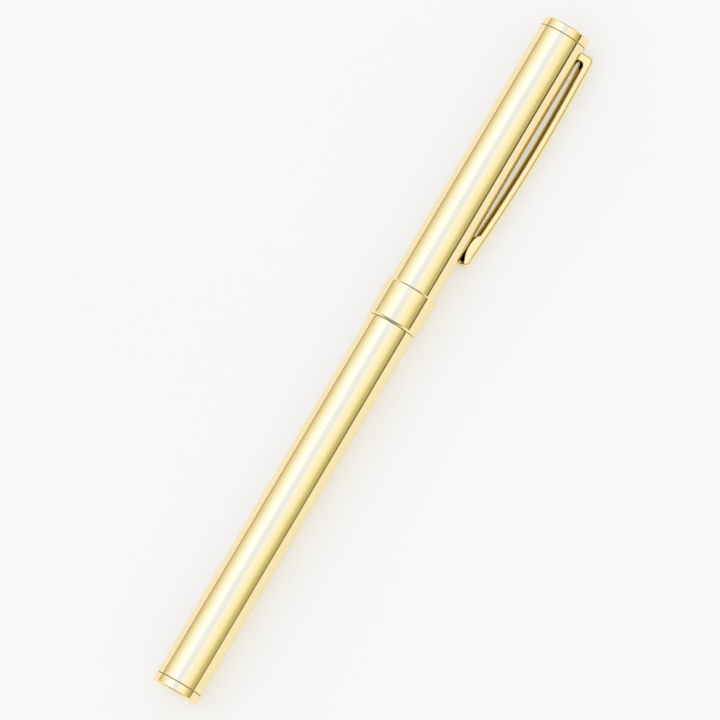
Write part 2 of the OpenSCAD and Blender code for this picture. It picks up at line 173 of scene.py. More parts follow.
bpy.ops.object.select_all(action="DESELECT")
bpy.ops.mesh.primitive_plane_add(size=6)
table = bpy.context.object
table.name = "table_top"
board = bpy.data.materials.new("white_board")
board.use_nodes = True
tree = board.node_tree
shader = tree.nodes["Principled BSDF"]
shader.inputs["Roughness"].default_value = 0.6
shader.inputs["Specular IOR Level"].default_value = 0.02
# painted light: the board glows, which fills in the pen's shadow
shader.inputs["Emission Color"].default_value = (0.475, 0.465, 0.44, 1)
shader.inputs["Emission Strength"].default_value = 1
coords = tree.nodes.new("ShaderNodeTexCoord")
mottle = tree.nodes.new("ShaderNodeTexNoise")
mottle.inputs["Scale"].default_value = 9
shade = tree.nodes.new("ShaderNodeValToRGB")
shade.color_ramp.elements[0].color = (0.5, 0.5, 0.5, 1)
shade.color_ramp.elements[1].color = (0.53, 0.53, 0.525, 1)
tree.links.new(coords.outputs["Object"], mottle.inputs["Vector"])
tree.links.new(mottle.outputs["Fac"], shade.inputs["Fac"])
tree.links.new(shade.outputs["Color"], shader.inputs["Base Color"])
table.data.materials.append(board)

# ---- Barrel tube ----
# Drawn aluminium tube, mirror-polished and plated light gold. Its rear edge meets the end plug
# at a fine groove, and its mouth runs up to the cap's band.

ONE_POINT = 0.001 * MM
SPECK = 0.003 * MM


def only(piece):
    bpy.ops.object.select_all(action="DESELECT")
    piece.select_set(True)
    bpy.context.view_layer.objects.active = piece


def apply_modifiers(piece):
    only(piece)
    for modifier in list(piece.modifiers):
        bpy.ops.object.modifier_apply(modifier=modifier.name)


def choose_faces(piece, wanted):
    bpy.ops.mesh.select_all(action="DESELECT")
    mesh = bmesh.from_edit_mesh(piece.data)
    for face in mesh.faces:
        if wanted(face.calc_center_median()):
            face.select_set(True)
    bmesh.update_edit_mesh(piece.data)


def off_axis(point):
    return sqrt((point.y - AXIS_Y) ** 2 + (point.z - AXIS_Z) ** 2)


def name_piece(piece, name):
    piece.name = name
    piece.data.name = name


def face_outwards():
    bpy.ops.mesh.select_all(action="SELECT")
    bpy.ops.mesh.normals_make_consistent(inside=False)
    bpy.ops.object.mode_set(mode="OBJECT")


def turned(name, outline, solid=False, sides=192):
    # draws a ring out along the pen from one (place, radius) to the next, as on a lathe: the
    # outline runs round to its start, or the first and last rings of a solid piece are filled
    x, r = outline[0]
    bpy.ops.mesh.primitive_circle_add(
        vertices=sides, radius=r, location=(x, AXIS_Y, AXIS_Z), rotation=(0, pi / 2, 0)
    )
    piece = bpy.context.object
    name_piece(piece, name)
    bpy.ops.object.transform_apply(location=True, rotation=True, scale=True)
    bpy.ops.object.mode_set(mode="EDIT")
    bpy.ops.mesh.select_all(action="SELECT")
    for next_x, next_r in outline[1:] if solid else outline[1:] + outline[:1]:
        bpy.ops.mesh.extrude_region_move(TRANSFORM_OT_translate={"value": (next_x - x, 0, 0)})
        if next_r != r:
            bpy.ops.transform.resize(
                value=(1, next_r / r, next_r / r), center_override=(next_x, AXIS_Y, AXIS_Z)
            )
        x, r = next_x, next_r
    bpy.ops.mesh.select_all(action="SELECT")
    if solid:
        bpy.ops.mesh.fill_holes(sides=0)
    else:
        bpy.ops.mesh.remove_doubles(threshold=ONE_POINT)
    face_outwards()
    return piece


def finish_edges(piece, width, angle=35, steps=2):
    # breaks every sharp edge a little, then lets the large faces carry the shading
    only(piece)
    bpy.ops.object.shade_smooth()
    if width:
        edges = piece.modifiers.new("edges", "BEVEL")
        edges.width = width
        edges.segments = steps
        edges.limit_method = "ANGLE"
        edges.angle_limit = radians(angle)
        edges.miter_outer = "MITER_ARC"
        apply_modifiers(piece)
        bpy.ops.object.mode_set(mode="EDIT")
        bpy.ops.mesh.select_all(action="SELECT")
        bpy.ops.mesh.remove_doubles(threshold=SPECK)
        bpy.ops.mesh.dissolve_degenerate(threshold=SPECK)
        bpy.ops.mesh.delete_loose(use_verts=True, use_edges=True)
        bpy.ops.object.mode_set(mode="OBJECT")
    shading = piece.modifiers.new("shading", "WEIGHTED_NORMAL")
    shading.keep_sharp = True
    apply_modifiers(piece)


def add_group(name, inputs):
    # a shader group that gives a colour, a roughness and a height for the bump
    group = bpy.data.node_groups.new(name, "ShaderNodeTree")
    colour, number = "NodeSocketColor", "NodeSocketFloat"
    for label, value in inputs.items():
        kind = colour if isinstance(value, tuple) else number
        socket = group.interface.new_socket(name=label, in_out="INPUT", socket_type=kind)
        socket.default_value = (*value, 1) if kind == colour else value
    for label, kind in (("Colour", colour), ("Roughness", number), ("Height", number)):
        group.interface.new_socket(name=label, in_out="OUTPUT", socket_type=kind)
    where = group.nodes.new("ShaderNodeTexCoord").outputs["Object"]
    return group, group.nodes.new("NodeGroupInput").outputs, where


def give(group, *results):
    answers = group.nodes.new("NodeGroupOutput")
    for result, socket in zip(results, answers.inputs):
        group.links.new(result, socket)


def noise_node(tree, vector, scale, detail, roughness):
    node = tree.nodes.new("ShaderNodeTexNoise")
    node.inputs["Scale"].default_value = scale
    node.inputs["Detail"].default_value = detail
    node.inputs["Roughness"].default_value = roughness
    tree.links.new(vector, node.inputs["Vector"])
    return node.outputs["Fac"]


def stretched(tree, vector, scale):
    node = tree.nodes.new("ShaderNodeMapping")
    node.inputs["Scale"].default_value = scale
    tree.links.new(vector, node.inputs["Vector"])
    return node.outputs["Vector"]


def patches(tree, noise, start, gain):
    # only the part of a noise above start, drawn out and kept between nothing and one
    raised = math_node(tree, "MULTIPLY", math_node(tree, "SUBTRACT", noise, start), gain)
    return math_node(tree, "MINIMUM", math_node(tree, "MAXIMUM", raised, 0), 1)


# Polish that has been handled: soft finger smudges, hairline scratches and long faint ripples
polish, given, where = add_group(
    "handled_polish",
    {"Colour": (0.97, 0.84, 0.5), "Toned": (0.93, 0.77, 0.4), "Roughness": 0.05, "Smudge": 0.04},
)
smudges = patches(polish, noise_node(polish, where, 160, 3, 0.55), 0.45, 2.2)
hairs = noise_node(polish, stretched(polish, where, (60, 9000, 9000)), 1, 3, 0.6)
ripples = noise_node(polish, stretched(polish, where, (2500, 700, 700)), 1, 2, 0.5)
smudged = math_node(polish, "MULTIPLY_ADD", smudges, given["Smudge"], given["Roughness"])
give(
    polish,
    mix_node(
        polish, math_node(polish, "MULTIPLY", smudges, 0.35), given["Colour"], given["Toned"]
    ),
    math_node(polish, "MULTIPLY_ADD", math_node(polish, "SUBTRACT", hairs, 0.5), 0.03, smudged),
    math_node(polish, "MULTIPLY_ADD", ripples, 0.35, hairs),
)


def finish(name, group, values, fixed, strength, depth):
    # a material whose colour, roughness and relief come from one of the groups
    material = bpy.data.materials.new(name)
    material.use_nodes = True
    tree = material.node_tree
    shader = tree.nodes["Principled BSDF"]
    for label, value in fixed.items():
        shader.inputs[label].default_value = value
    node = tree.nodes.new("ShaderNodeGroup")
    node.node_tree = group
    for label, value in values.items():
        node.inputs[label].default_value = (*value, 1) if isinstance(value, tuple) else value
    bump = tree.nodes.new("ShaderNodeBump")
    bump.inputs["Strength"].default_value = strength
    bump.inputs["Distance"].default_value = depth
    tree.links.new(node.outputs["Colour"], shader.inputs["Base Color"])
    tree.links.new(node.outputs["Roughness"], shader.inputs["Roughness"])
    tree.links.new(node.outputs["Height"], bump.inputs["Height"])
    tree.links.new(bump.outputs["Normal"], shader.inputs["Normal"])
    return material


def made_of(piece, material, slot, body, *replaced):
    if not piece.data.materials:
        piece.data.materials.append(material)
    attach(piece, body)
    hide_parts(*replaced)


def repaint(material, *names):
    for name in names:
        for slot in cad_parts[name].material_slots:
            slot.material = material


gold_tube = finish(
    "gold_tube",
    polish,
    {"Colour": (1.0, 0.84, 0.485), "Toned": (0.95, 0.79, 0.42), "Roughness": 0.045, "Smudge": 0.03},
    {"Metallic": 1},
    0.05,
    0.004 * MM,
)
WALL = 0.45 * MM
BORE_R = TUBE_R - WALL
RIM_LOOP = 0.4 * MM
barrel_tube = turned(
    "barrel_tube_drawn",
    [
        (tube_low.x, TUBE_R),
        (tube_low.x + RIM_LOOP, TUBE_R),
        (tube_high.x - RIM_LOOP, TUBE_R),
        (tube_high.x, TUBE_R),
        (tube_high.x, BORE_R),
        (tube_low.x, BORE_R),
    ],
)
finish_edges(barrel_tube, 0.05 * MM)
made_of(barrel_tube, gold_tube, "gold_tube", "barrel", "barrel_tube")

# ---- Barrel end plug ----
# Turned brass plug, gold plated, pressed into the tube. Its head has a shallow dome with a
# bevelled rim, a fine groove under it, and a spigot with a boss for the spring inside.

polished_gold = finish(
    "polished_gold",
    polish,
    {"Colour": (1.0, 0.835, 0.47), "Toned": (0.94, 0.77, 0.39), "Roughness": 0.04, "Smudge": 0.03},
    {"Metallic": 1},
    0.05,
    0.004 * MM,
)
# painted shade for the plug's groove, drawn as a dark dull gold
groove_painted_shade = finish(
    "groove_painted_shade",
    polish,
    {"Colour": (0.42, 0.33, 0.14), "Toned": (0.16, 0.11, 0.04), "Roughness": 0.4, "Smudge": 0.2},
    {"Metallic": 0.6},
    0.2,
    0.01 * MM,
)
PLUG_HEAD = 1.8 * MM
PLUG_RIM = 0.28 * MM
RIM_START = 0.16 * MM
RIM_END = 0.4 * MM
RIM_DROP = 0.2 * MM
HEAD_LOOP = 0.3 * MM
PLUG_DOME = 0.12 * MM
PLUG_FLAT_R = 2.8 * MM
PLUG_MIDDLE_R = 1.2 * MM
GROOVE_WIDTH = 0.15 * MM
GROOVE_DEPTH = 0.2 * MM
PRESS = 0.02 * MM
PRESSED_R = BORE_R - PRESS


def plug_head(end, inward):
    # from the flat middle of the dome, over the rim and down to the groove's floor
    dome = [
        (end + inward * PLUG_DOME * t * t, PLUG_FLAT_R + (TUBE_R - PLUG_RIM - PLUG_FLAT_R) * t)
        for t in (0.25, 0.5, 0.75, 1)
    ]
    head = end + inward * PLUG_HEAD
    groove = head + inward * GROOVE_WIDTH
    return [
        (end, PLUG_MIDDLE_R),
        (end, PLUG_FLAT_R),
        *dome,
        (end + inward * RIM_START, TUBE_R - RIM_DROP),
        (end + inward * RIM_END, TUBE_R),
        (head - inward * HEAD_LOOP, TUBE_R),
        (head, TUBE_R),
        (head, TUBE_R - GROOVE_DEPTH),
        (groove, TUBE_R - GROOVE_DEPTH),
        (groove, PRESSED_R),
    ]


def paint_shade_in_groove(piece, end, inward):
    # painted shade: a dark dull gold material darkens the groove's floor and its one wall
    piece.data.materials.append(groove_painted_shade)
    hair = 0.01 * MM
    for face in piece.data.polygons:
        depth = (face.center.x - end) * inward
        in_groove = PLUG_HEAD - hair < depth < PLUG_HEAD + GROOVE_WIDTH - hair
        if in_groove and off_axis(face.center) < TUBE_R - 5 * hair:
            face.material_index = 1


plug_low, plug_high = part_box("barrel_end_plug")
BOSS_LENGTH = 1.8 * MM
BOSS_R = 1.715 * MM
BOSS_MIDDLE_R = 0.6 * MM
spring_seat = plug_high.x - BOSS_LENGTH
end_plug = turned(
    "barrel_end_plug_turned",
    plug_head(plug_low.x, 1)
    + [
        (spring_seat, PRESSED_R),
        (spring_seat, BOSS_R),
        (plug_high.x, BOSS_R),
        (plug_high.x, BOSS_MIDDLE_R),
    ],
    solid=True,
)
finish_edges(end_plug, 0.04 * MM, 25)
made_of(end_plug, polished_gold, "polished_gold", "barrel", "barrel_end_plug")
# the groove's floor and wall get the painted shade material
paint_shade_in_groove(end_plug, plug_low.x, 1)

# ---- Barrel thread bush ----
# Turned from bare brass bar and pressed into the barrel's mouth. The section screws into its
# thread, and the wider recess at its mouth takes the O-ring.

# Fine cuts of the tool run round the piece, and the bare metal is tarnished in patches
tool_marks, given, where = add_group(
    "tool_marks",
    {"Colour": (0.8, 0.6, 0.25), "Dull": (0.5, 0.36, 0.16), "Roughness": 0.25, "Wear": 0.2},
)
tarnish = patches(tool_marks, noise_node(tool_marks, where, 700, 4, 0.6), 0.4, 2.5)
give(
    tool_marks,
    mix_node(
        tool_marks, math_node(tool_marks, "MULTIPLY", tarnish, 0.6), given["Colour"], given["Dull"]
    ),
    math_node(tool_marks, "MULTIPLY_ADD", tarnish, given["Wear"], given["Roughness"]),
    noise_node(tool_marks, stretched(tool_marks, where, (14000, 260, 260)), 1, 3, 0.6),
)

thread_brass = finish(
    "thread_brass",
    tool_marks,
    {"Colour": (0.83, 0.63, 0.28), "Dull": (0.55, 0.38, 0.16), "Roughness": 0.22, "Wear": 0.2},
    {"Metallic": 1},
    0.35,
    0.01 * MM,
)
PITCH = 0.75 * MM
TURNS = 8
THREAD_DEPTH = 0.25 * MM
THREAD_ROOT = 2.95 * MM
CLEARANCE = 0.05 * MM
THREAD_SUNK = 0.03 * MM
THREAD_STEPS = 48
bush_low, bush_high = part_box("barrel_thread_bush")
body_low, body_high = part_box("section_body")
bush_bore = THREAD_ROOT + THREAD_DEPTH + CLEARANCE
bush_root = bush_bore + THREAD_DEPTH
recess_r = bush_root + 0.1 * MM


def add_thread(piece, start, root, crest, turns):
    # a ridge wound round the pen on the right hand, with a flat crest and its foot in the wall
    sunk = root + (THREAD_SUNK if crest < root else -THREAD_SUNK)
    bpy.ops.mesh.primitive_plane_add(size=1)
    ridge = bpy.context.object
    bpy.ops.object.mode_set(mode="EDIT")
    mesh = bmesh.from_edit_mesh(ridge.data)
    # places are shares of the pitch
    shape = ((0.04, sunk), (0.96, sunk), (0.6, crest), (0.4, crest))
    mesh.faces.ensure_lookup_table()
    for vert, (place, radius) in zip(mesh.faces[0].verts, shape):
        vert.co = (place * PITCH, 0, radius)
    bmesh.update_edit_mesh(ridge.data)
    bpy.ops.mesh.select_all(action="SELECT")
    bpy.ops.mesh.delete(type="ONLY_FACE")
    bpy.ops.object.mode_set(mode="OBJECT")
    winding = ridge.modifiers.new("winding", "SCREW")
    winding.axis = "X"
    winding.screw_offset = PITCH
    winding.iterations = turns
    winding.steps = winding.render_steps = THREAD_STEPS
    apply_modifiers(ridge)
    bpy.ops.object.mode_set(mode="EDIT")
    bpy.ops.mesh.select_all(action="SELECT")
    bpy.ops.mesh.fill_holes(sides=0)
    face_outwards()
    ridge.location = (start, AXIS_Y, AXIS_Z)
    bpy.ops.object.transform_apply(location=True, rotation=True, scale=True)
    only(piece)
    ridge.select_set(True)
    bpy.ops.object.join()


thread_bush = turned(
    "barrel_thread_bush_cut",
    [
        (bush_low.x, PRESSED_R),
        (bush_high.x, PRESSED_R),
        (bush_high.x, recess_r + 0.1 * MM),
        (bush_high.x - 0.1 * MM, recess_r),
        (bush_high.x - 1 * MM, recess_r),
        (bush_high.x - 1.1 * MM, bush_root),
        (body_low.x, bush_root),
        (body_low.x - 0.2 * MM, bush_bore),
        (bush_low.x + 0.2 * MM, bush_bore),
        (bush_low.x, bush_bore + 0.2 * MM),
    ],
    sides=128,
)
add_thread(thread_bush, body_low.x, bush_root, bush_bore, TURNS)
finish_edges(thread_bush, 0)
made_of(thread_bush, thread_brass, "thread_brass", "barrel", "barrel_thread_bush")

# ---- Refill spring ----
# Coiled from stainless spring wire, with close turns at both ends. It sits on the end plug's
# boss and pushes the refill forward.

spring_steel = finish(
    "spring_steel",
    tool_marks,
    {"Colour": (0.66, 0.67, 0.69), "Dull": (0.42, 0.42, 0.43), "Roughness": 0.2, "Wear": 0.18},
    {"Metallic": 1},
    0.3,
    0.006 * MM,
)
repaint(spring_steel, "refill_spring")

# ---- Refill tube ----
# Extruded from milky polypropylene and cut to length, with a shallow crimp that holds its rear
# plug. Faint flow lines run along it.

# A moulded skin has a fine grain, lines along the flow, and smoother places where it is touched
moulded, given, where = add_group(
    "moulded_skin",
    {
        "Colour": (0.02, 0.02, 0.022),
        "Rubbed": (0.05, 0.05, 0.05),
        "Roughness": 0.4,
        "Shine": 0.15,
        "Grain": 9000,
        "Flow": 0.3,
    },
)
grain = noise_node(moulded, where, 1, 2, 0.5)
moulded.links.new(given["Grain"], grain.node.inputs["Scale"])
flow = noise_node(moulded, stretched(moulded, where, (90, 2600, 2600)), 1, 3, 0.55)
streak = math_node(moulded, "MULTIPLY", flow, given["Flow"])
touched = patches(moulded, noise_node(moulded, where, 420, 4, 0.6), 0.42, 2.6)
rubbing = math_node(moulded, "MULTIPLY_ADD", touched, 0.45, streak)
shine = math_node(moulded, "MULTIPLY", touched, given["Shine"])
give(
    moulded,
    mix_node(moulded, rubbing, given["Colour"], given["Rubbed"]),
    math_node(moulded, "SUBTRACT", given["Roughness"], shine),
    math_node(moulded, "ADD", grain, streak),
)

milky_plastic = finish(
    "milky_plastic",
    moulded,
    {
        "Colour": (0.72, 0.7, 0.62),
        "Rubbed": (0.6, 0.58, 0.52),
        "Roughness": 0.3,
        "Shine": 0.08,
        "Grain": 5000.0,
        "Flow": 0.5,
    },
    {"Subsurface Weight": 0.25, "Subsurface Scale": 0.3 * MM},
    0.2,
    0.01 * MM,
)
REFILL_R = 2.4 * MM
REFILL_BORE = 2.1 * MM
tube_back, tube_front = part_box("refill_tube")
CHAMFER = 0.12 * MM
CRIMP_DEPTH = 0.07 * MM
crimp_low, crimp_high = tube_back.x + 2.6 * MM, tube_back.x + 3.3 * MM
refill_tube = turned(
    "refill_tube_extruded",
    [
        (tube_back.x, REFILL_R - CHAMFER),
        (tube_back.x + CHAMFER, REFILL_R),
        (crimp_low, REFILL_R),
        (crimp_low + 0.15 * MM, REFILL_R - CRIMP_DEPTH),
        (crimp_high - 0.15 * MM, REFILL_R - CRIMP_DEPTH),
        (crimp_high, REFILL_R),
        (tube_front.x - CHAMFER, REFILL_R),
        (tube_front.x, REFILL_R - CHAMFER),
        (tube_front.x, REFILL_BORE),
        (tube_back.x, REFILL_BORE),
    ],
    sides=96,
)
finish_edges(refill_tube, 0.03 * MM)
made_of(refill_tube, milky_plastic, "milky_plastic", "refill", "refill_tube")

# ---- Refill rear plug ----
# Moulded in black plastic and pushed into the tube's back end. Its nipple centres the spring,
# and two low rings on its spigot seal against the tube.

dark_plastic = finish(
    "dark_plastic",
    moulded,
    {
        "Colour": (0.014, 0.014, 0.016),
        "Rubbed": (0.03, 0.03, 0.032),
        "Roughness": 0.42,
        "Shine": 0.2,
        "Grain": 9000.0,
        "Flow": 0.15,
    },
    {"Specular IOR Level": 0.5},
    0.25,
    0.012 * MM,
)
rear_low, rear_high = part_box("refill_rear_plug")
head_low = rear_low.x + BOSS_LENGTH
spigot_r = REFILL_BORE - 0.04 * MM
relief_r = spigot_r - 0.05 * MM
SEAL_RISE = 0.07 * MM
SEAL_HALF = 0.15 * MM
seal_rings = [
    (tube_back.x + ring + SEAL_HALF * side, relief_r + (0 if side else SEAL_RISE))
    for ring in (1.15 * MM, 2.45 * MM)
    for side in (-1, 0, 1)
]
rear_plug = turned(
    "refill_rear_plug_moulded",
    [
        (rear_low.x, BOSS_MIDDLE_R),
        (rear_low.x, BOSS_R - 0.35 * MM),
        (rear_low.x + 0.35 * MM, BOSS_R),
        (head_low, BOSS_R),
        (head_low, REFILL_R - 0.2 * MM),
        (head_low + 0.2 * MM, REFILL_R),
        (tube_back.x, REFILL_R),
        (tube_back.x, relief_r),
        *seal_rings,
        (rear_high.x - 0.3 * MM, relief_r),
        (rear_high.x, spigot_r - 0.3 * MM),
        (rear_high.x, BOSS_MIDDLE_R),
    ],
    solid=True,
    sides=96,
)
finish_edges(rear_plug, 0.04 * MM)
made_of(rear_plug, dark_plastic, "dark_plastic", "refill", "refill_rear_plug")

# ---- Refill nozzle ----
# Moulded front plug of the refill. Its flange stops it at the tube's end, and the nib's tail
# slides through its long neck to reach the ink.

nozzle_low, nozzle_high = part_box("refill_nozzle")
NECK_R = 1.77 * MM
TAIL_BORE = 1.05 * MM
NOZZLE_FLANGE = 0.8 * MM
flange_high = tube_front.x + NOZZLE_FLANGE
nozzle = turned(
    "refill_nozzle_moulded",
    [
        (nozzle_low.x, TAIL_BORE + 0.25 * MM),
        (nozzle_low.x, spigot_r - 0.3 * MM),
        (nozzle_low.x + 0.3 * MM, spigot_r),
        (tube_front.x, spigot_r),
        (tube_front.x, REFILL_R),
        (flange_high - 0.15 * MM, REFILL_R),
        (flange_high, REFILL_R - 0.15 * MM),
        (flange_high, NECK_R),
        (nozzle_high.x - 0.25 * MM, NECK_R),
        (nozzle_high.x, NECK_R - 0.15 * MM),
        (nozzle_high.x, TAIL_BORE + 0.15 * MM),
        (nozzle_high.x - 0.15 * MM, TAIL_BORE),
        (nozzle_low.x + 0.25 * MM, TAIL_BORE),
    ],
    sides=96,
)
finish_edges(nozzle, 0.04 * MM)
made_of(nozzle, dark_plastic, "dark_plastic", "refill", "refill_nozzle")

# ---- Ink core ----
# A rod of bonded polyester fibre soaked with black ink, wrapped in a thin milky film that keeps
# the fibres together while it slides into the tube.

felt, given, where = add_group(
    "inked_fibre", {"Colour": (0.012, 0.012, 0.02), "Fibre": (0.05, 0.05, 0.07)}
)
strands = noise_node(felt, stretched(felt, where, (900, 16000, 16000)), 1, 4, 0.65)
clumps = noise_node(felt, where, 2400, 3, 0.6)
soaking = math_node(felt, "MULTIPLY", strands, clumps)
give(
    felt,
    mix_node(felt, soaking, given["Colour"], given["Fibre"]),
    math_node(felt, "MULTIPLY_ADD", clumps, 0.35, 0.55),
    math_node(felt, "MULTIPLY_ADD", clumps, 0.5, strands),
)

ink_fibre = finish(
    "ink_fibre",
    felt,
    {"Colour": (0.012, 0.012, 0.018), "Fibre": (0.09, 0.09, 0.11)},
    {"Sheen Weight": 0.15, "Specular IOR Level": 0.3},
    0.5,
    0.03 * MM,
)
repaint(ink_fibre, "ink_core")
repaint(milky_plastic, "core_film")

# ---- Section O-ring ----
# Moulded nitrile ring in the relief behind the shoulder. It takes up the play of the thread, and
# the mould's parting line shows as a low ridge round it.

soft_rubber = finish(
    "soft_rubber",
    moulded,
    {
        "Colour": (0.016, 0.016, 0.016),
        "Rubbed": (0.045, 0.044, 0.042),
        "Roughness": 0.72,
        "Shine": 0.14,
        "Grain": 6500.0,
        "Flow": 0.1,
    },
    {"Specular IOR Level": 0.35, "Sheen Weight": 0.1},
    0.35,
    0.02 * MM,
)
ring_low, ring_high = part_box("section_o_ring")
cord_r = (ring_high.x - ring_low.x) / 2
ring_mid_r = (ring_high.z - ring_low.z) / 2 - cord_r
ring_mid = (ring_low.x + ring_high.x) / 2
PARTING_LINE = 0.975
cord = []
for step in range(24):
    a = 2 * pi * step / 24
    cord_at = cord_r * (1 if step % 12 == 0 else PARTING_LINE)
    cord.append((ring_mid + cord_at * sin(a), ring_mid_r - cord_at * cos(a)))
o_ring = turned("section_o_ring_moulded", cord, sides=96)
finish_edges(o_ring, 0)
made_of(o_ring, soft_rubber, "soft_rubber", "section_seal", "section_o_ring")

# ---- Section body ----
# Moulded in black plastic: a thread, a relief for the O-ring, a shoulder that meets the barrel,
# a groove for the snap ring, the core under the grip sleeve, and a spigot for the nose.

O_RING_SEAT = 1.55 * MM
SHOULDER = 1.45 * MM
SNAP_FROM_SHOULDER = 2.2 * MM
SNAP_GROOVE = 1.4 * MM
shoulder_low = body_low.x + TURNS * PITCH + O_RING_SEAT
shoulder_high = shoulder_low + SHOULDER
snap_low = shoulder_high + SNAP_FROM_SHOULDER
snap_high = snap_low + SNAP_GROOVE
trim_low, trim_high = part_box("section_trim_ring")
nose_low, nose_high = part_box("nose_cone")
SHOULDER_R = 3.7 * MM
SECTION_R = 3.6 * MM
SNAP_R = 3.26 * MM
CORE_R = 2.98 * MM
SPIGOT_R = 2.399 * MM
SECTION_BORE = 2.5 * MM
NECK_BORE = 1.85 * MM
EASED = 0.2 * MM
SNAP_EDGE = 0.08 * MM
bore_end = flange_high + CLEARANCE
section_body = turned(
    "section_body_moulded",
    [
        (body_low.x, THREAD_ROOT - EASED),
        (body_low.x + EASED, THREAD_ROOT),
        (shoulder_low - 0.05 * MM, THREAD_ROOT),
        (shoulder_low, THREAD_ROOT + 0.05 * MM),
        (shoulder_low, SHOULDER_R - CHAMFER),
        (shoulder_low + CHAMFER, SHOULDER_R),
        (shoulder_high - CHAMFER, SHOULDER_R),
        (shoulder_high, SHOULDER_R - CHAMFER),
        (shoulder_high, SECTION_R),
        (snap_low - SNAP_EDGE, SECTION_R),
        (snap_low, SECTION_R - SNAP_EDGE),
        (snap_low, SNAP_R - PRESS),
        (snap_high, SNAP_R - PRESS),
        (snap_high, SECTION_R - SNAP_EDGE),
        (snap_high + SNAP_EDGE, SECTION_R),
        (trim_low.x, SECTION_R),
        (trim_low.x, CORE_R),
        (nose_low.x, CORE_R),
        (nose_low.x, SPIGOT_R),
        (body_high.x - EASED, SPIGOT_R),
        (body_high.x, SPIGOT_R - EASED),
        (body_high.x, NECK_BORE),
        (bore_end + EASED, NECK_BORE),
        (bore_end, NECK_BORE + EASED),
        (bore_end, SECTION_BORE),
        (body_low.x + EASED, SECTION_BORE),
        (body_low.x, SECTION_BORE + 0.1 * MM),
    ],
    sides=128,
)
add_thread(section_body, body_low.x, THREAD_ROOT, THREAD_ROOT + THREAD_DEPTH, TURNS - 1)
finish_edges(section_body, 0)
made_of(section_body, dark_plastic, "dark_plastic", "section", "section_body")

# ---- Grip sleeve ----
# Soft thermoplastic rubber moulded over the section's core. It narrows towards the nib, and
# seven shallow rounded grooves keep the fingers from sliding.

sleeve_low, sleeve_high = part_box("grip_sleeve")
SLEEVE_FRONT_R = 3.28 * MM
SLEEVE_BORE = CORE_R + PRESS
SLEEVE_ROUND = 0.1 * MM
GROOVES = 7
GRIP_GROOVE = 0.12 * MM
GROOVE_HALF = 0.42 * MM
sleeve_length = sleeve_high.x - sleeve_low.x


def sleeve_radius(x):
    return SECTION_R - (SECTION_R - SLEEVE_FRONT_R) * (x - sleeve_low.x) / sleeve_length


round_low, round_high = sleeve_low.x + SLEEVE_ROUND, sleeve_high.x - SLEEVE_ROUND
outside = [(sleeve_low.x, SECTION_R - SLEEVE_ROUND), (round_low, sleeve_radius(round_low))]
for groove in range(GROOVES):
    middle = sleeve_low.x + sleeve_length * (groove + 1) / (GROOVES + 1)
    for step in range(9):
        t = step / 4 - 1
        x = middle + GROOVE_HALF * t
        outside.append((x, sleeve_radius(x) - GRIP_GROOVE * (1 + cos(pi * t)) / 2))
outside.append((round_high, sleeve_radius(round_high)))
outside.append((sleeve_high.x, SLEEVE_FRONT_R - SLEEVE_ROUND))
grip_sleeve = turned(
    "grip_sleeve_moulded",
    outside + [(sleeve_high.x, SLEEVE_BORE), (sleeve_low.x, SLEEVE_BORE)],
    sides=160,
)
finish_edges(grip_sleeve, 0)
made_of(grip_sleeve, soft_rubber, "soft_rubber", "section", "grip_sleeve")

# ---- Section trim ring ----
# Turned brass ring, gold plated, slid on behind the sleeve. A fine line is turned round its
# middle, and both its edges are broken.

trim_mid = (trim_low.x + trim_high.x) / 2
TRIM_EDGE = 0.08 * MM
LINE_DEPTH = 0.07 * MM
trim_ring = turned(
    "section_trim_ring_turned",
    [
        (trim_low.x, SECTION_R - TRIM_EDGE),
        (trim_low.x + TRIM_EDGE, SECTION_R),
        (trim_mid - 0.1 * MM, SECTION_R),
        (trim_mid - 0.06 * MM, SECTION_R - LINE_DEPTH),
        (trim_mid + 0.06 * MM, SECTION_R - LINE_DEPTH),
        (trim_mid + 0.1 * MM, SECTION_R),
        (trim_high.x - TRIM_EDGE, SECTION_R),
        (trim_high.x, SECTION_R - TRIM_EDGE),
        (trim_high.x, SLEEVE_BORE),
        (trim_low.x, SLEEVE_BORE),
    ],
)
finish_edges(trim_ring, 0.02 * MM)
made_of(trim_ring, polished_gold, "polished_gold", "section", "section_trim_ring")

# ---- Nose cone ----
# Turned brass cone, gold plated, pressed over the section's spigot so that it holds the nib's
# insert. Its front edge is thin and rounded, and a fine line is turned near the sleeve.

HOLDER_R = 2.049 * MM
NOSE_WALL = 0.38 * MM
HOLDER_FLANGE = 0.8 * MM
nose_bore = HOLDER_R + PRESS
nose_front_r = nose_bore + NOSE_WALL
holder_low, holder_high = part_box("nib_holder")
step_at = holder_low.x + HOLDER_FLANGE


def nose_radius(x):
    t = (x - nose_low.x) / (nose_high.x - nose_low.x)
    return SLEEVE_FRONT_R + (nose_front_r - SLEEVE_FRONT_R) * t


nose_line = nose_low.x + 0.75 * MM
nose_cone = turned(
    "nose_cone_turned",
    [
        (nose_low.x, SLEEVE_FRONT_R - 0.06 * MM),
        (nose_low.x + 0.06 * MM, nose_radius(nose_low.x + 0.06 * MM)),
        (nose_line - 0.1 * MM, nose_radius(nose_line - 0.1 * MM)),
        (nose_line - 0.05 * MM, nose_radius(nose_line) - LINE_DEPTH),
        (nose_line + 0.05 * MM, nose_radius(nose_line) - LINE_DEPTH),
        (nose_line + 0.1 * MM, nose_radius(nose_line + 0.1 * MM)),
        (nose_high.x - 0.16 * MM, nose_radius(nose_high.x - 0.16 * MM)),
        (nose_high.x - 0.05 * MM, nose_front_r - 0.05 * MM),
        (nose_high.x, nose_front_r - 0.17 * MM),
        (nose_high.x, HOLDER_R + 0.08 * MM),
        (nose_high.x - 0.06 * MM, nose_bore),
        (step_at, nose_bore),
        (step_at, SPIGOT_R + PRESS),
        (nose_low.x, SPIGOT_R + PRESS),
    ],
)
finish_edges(nose_cone, 0.02 * MM)
made_of(nose_cone, polished_gold, "polished_gold", "section", "nose_cone")

